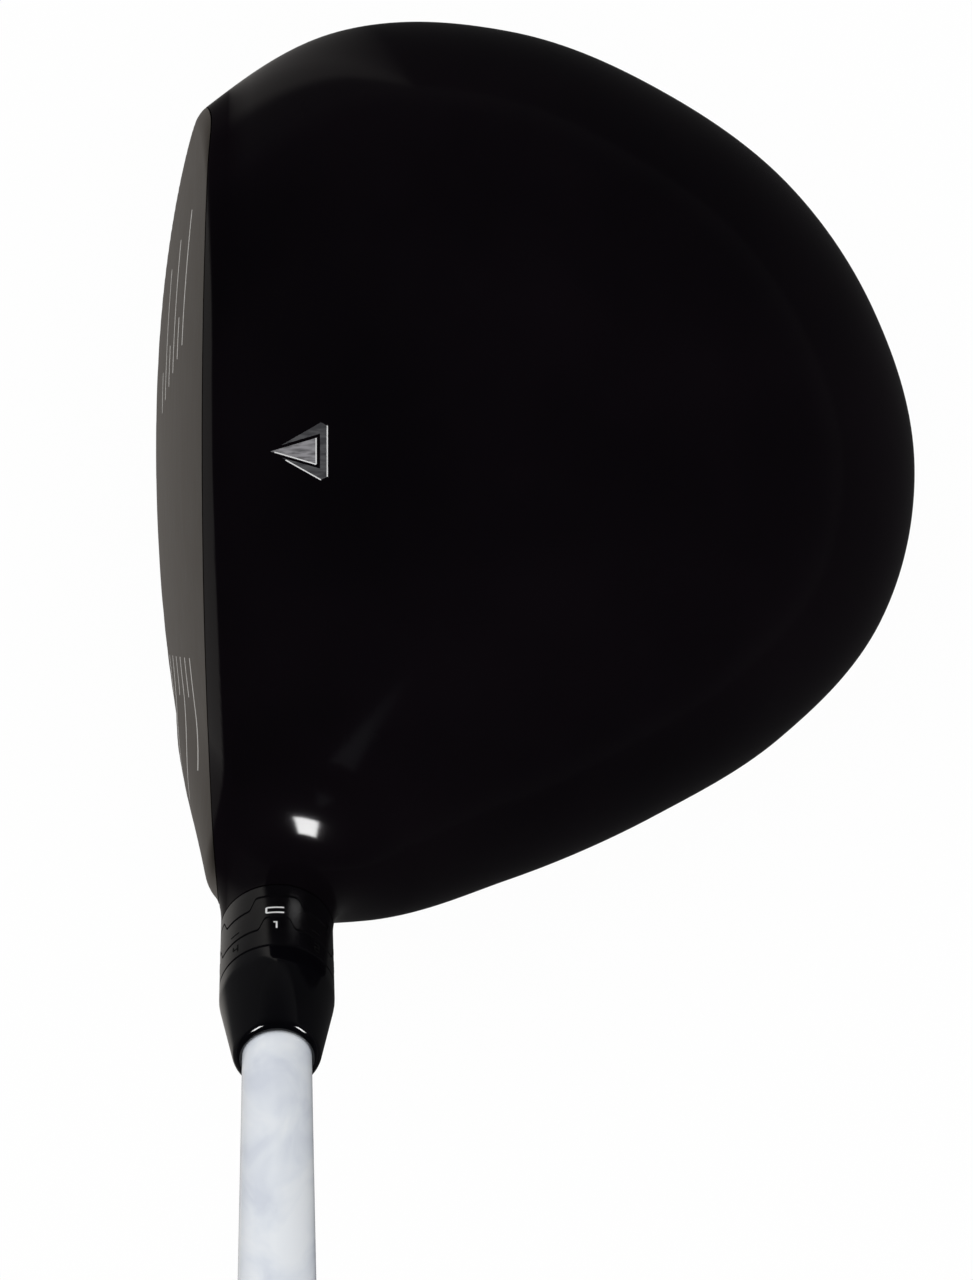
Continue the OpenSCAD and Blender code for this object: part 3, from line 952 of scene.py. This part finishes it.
def make_floor():
    """A white floor that keeps the shadow, with a band in front of the face that only its gloss sees."""
    mesh = bpy.data.meshes.new("floor")
    corners = [(x * FLOOR_HALF, y * FLOOR_HALF, 0) for x, y in ((-1, -1), (1, -1), (1, 1), (-1, 1))]
    mesh.from_pydata(corners, [], [(0, 1, 2, 3)])
    obj = bpy.data.objects.new("floor", mesh)
    obj.location.z = -FLOOR_DROP
    bpy.context.collection.objects.link(obj)
    mat, nodes, links, bsdf = node_material("floor_white")
    set_inputs(bsdf, Roughness=0.7, Base_Color=(0.86, 0.86, 0.86, 1))
    white = add(nodes, "ShaderNodeEmission", Strength=1.0)
    card = nodes.new("ShaderNodeEmission")
    coord = nodes.new("ShaderNodeTexCoord")
    split = nodes.new("ShaderNodeSeparateXYZ")
    links.new(coord.outputs["Object"], split.inputs[0])
    front = add(nodes, "ShaderNodeMapRange", From_Min=-0.02, From_Max=-0.12)
    band = ramp(nodes, [(0.0, (0.02, 0.02, 0.02)), (0.3, (0.36, 0.345, 0.33)), (0.6, (0.4, 0.385, 0.365)),
                        (0.85, (0.09, 0.09, 0.09)), (1.0, (0.07, 0.07, 0.07))])
    links.new(split.outputs["Y"], front.inputs["Value"])
    links.new(front.outputs["Result"], band.inputs["Fac"])
    links.new(band.outputs["Color"], card.inputs["Color"])
    kind = nodes.new("ShaderNodeMixShader")
    links.new(light_paths(nodes, links, "Is Camera Ray", "Is Transmission Ray"), kind.inputs["Fac"])
    links.new(card.outputs["Emission"], kind.inputs[1])
    links.new(white.outputs["Emission"], kind.inputs[2])
    mix = nodes.new("ShaderNodeMixShader")
    level = add(nodes, "ShaderNodeMath", operation="MULTIPLY")
    level.inputs[1].default_value = FLOOR_WHITE
    seen = light_paths(nodes, links, "Is Camera Ray", "Is Glossy Ray", "Is Transmission Ray")
    links.new(seen, level.inputs[0])
    links.new(level.outputs[0], mix.inputs["Fac"])
    links.new(bsdf.outputs["BSDF"], mix.inputs[1])
    links.new(kind.outputs["Shader"], mix.inputs[2])
    links.new(mix.outputs["Shader"], nodes["Material Output"].inputs["Surface"])
    mesh.materials.append(mat)


def make_world():
    """Even light on the object, white behind it, and a dark ceiling in its gloss."""
    world = bpy.data.worlds.new("studio")
    bpy.context.scene.world = world
    world.use_nodes = True
    nodes, links = world.node_tree.nodes, world.node_tree.links
    nodes.clear()
    out = nodes.new("ShaderNodeOutputWorld")
    even = add(nodes, "ShaderNodeBackground", Color=(1, 1, 1, 1), Strength=WORLD_LEVEL)
    white = add(nodes, "ShaderNodeBackground", Color=(1, 1, 1, 1), Strength=1.0)
    room = nodes.new("ShaderNodeBackground")
    coord = nodes.new("ShaderNodeTexCoord")
    split = nodes.new("ShaderNodeSeparateXYZ")
    shade = ramp(nodes, [(0.0, (0.1, 0.1, 0.1)), (0.15, (0.04, 0.04, 0.042)),
                         (0.42, (0.015, 0.015, 0.016)), (1.0, (0.008, 0.008, 0.01))])
    links.new(coord.outputs["Generated"], split.inputs[0])
    links.new(split.outputs["Z"], shade.inputs["Fac"])
    links.new(shade.outputs["Color"], room.inputs["Color"])
    inner = nodes.new("ShaderNodeMixShader")
    outer = nodes.new("ShaderNodeMixShader")
    rays = nodes.new("ShaderNodeLightPath")
    links.new(rays.outputs["Is Glossy Ray"], inner.inputs["Fac"])
    links.new(even.outputs[0], inner.inputs[1])
    links.new(room.outputs[0], inner.inputs[2])
    links.new(rays.outputs["Is Camera Ray"], outer.inputs["Fac"])
    links.new(inner.outputs[0], outer.inputs[1])
    links.new(white.outputs[0], outer.inputs[2])
    links.new(outer.outputs[0], out.inputs["Surface"])


def area_light(name, place, aim, size, power, glossy, diffuse=True, only=None, spin=0.0):
    """A rectangular lamp; with only it lights that one piece."""
    data = bpy.data.lights.new(name, "AREA")
    data.shape = "RECTANGLE"
    data.size, data.size_y = size
    data.energy = power
    obj = bpy.data.objects.new(name, data)
    obj.location = Vector(place)
    obj.rotation_euler = (Vector(aim) - Vector(place)).to_track_quat("-Z", "Y").to_euler()
    obj.visible_glossy = glossy
    obj.visible_diffuse = diffuse
    obj.visible_camera = False
    obj.rotation_euler.rotate_axis("Z", spin)
    if only:
        lit = bpy.data.collections.new(name + "_receivers")
        lit.objects.link(only)
        obj.light_linking.receiver_collection = lit
    bpy.context.collection.objects.link(obj)


def make_camera():
    """Above the head, looking down with the face to the left and the shaft at the bottom."""
    lens_px, width_px, sensor = 2784.0, 973.0, 36.0
    tilt = math.radians(4.3035)
    roll = math.radians(-1)
    down = Vector((-math.sin(roll), 0, -math.cos(roll)))
    up = Vector((-math.cos(roll), 0, math.sin(roll)))
    ahead = math.cos(tilt) * down + math.sin(tilt) * Vector((0, 1, 0))
    right = ahead.cross(up)
    data = bpy.data.cameras.new("camera")
    data.sensor_fit = "HORIZONTAL"
    data.sensor_width = sensor
    data.lens = lens_px / width_px * sensor
    data.clip_start = 0.01
    obj = bpy.data.objects.new("camera", data)
    turn = Matrix((right, up, -ahead)).transposed()
    obj.matrix_world = Matrix.Translation((0.0176, -0.032, 0.411)) @ turn.to_4x4()
    bpy.context.collection.objects.link(obj)
    bpy.context.scene.camera = obj


make_floor()
make_world()
area_light("key", (-0.7, -0.8, 1.5), (0, 0, 0.03), (1.4, 1.4), 9, False)
area_light("fill", (0.9, 0.9, 1.3), (0, 0, 0.03), (1.4, 1.4), 4, False)
area_light("neck_glint", (0.054, 0.024, 0.349), (0.048, -0.028, 0.0503), (0.125, 0.16), 6.6, True,
           diffuse=False, only=neck_skin, spin=math.radians(62))
for side, place in ((1, (-0.15, 0.75, 0.68)), (-1, (-0.16, -0.68, 0.78))):
    area_light(f"lip_glint_{side}", place, (0.074, -0.032, 0.073), (0.5, 0.22), 8, True,
               diffuse=False, only=ferrule_skin)
make_camera()
bpy.context.scene.view_settings.view_transform = "Standard"
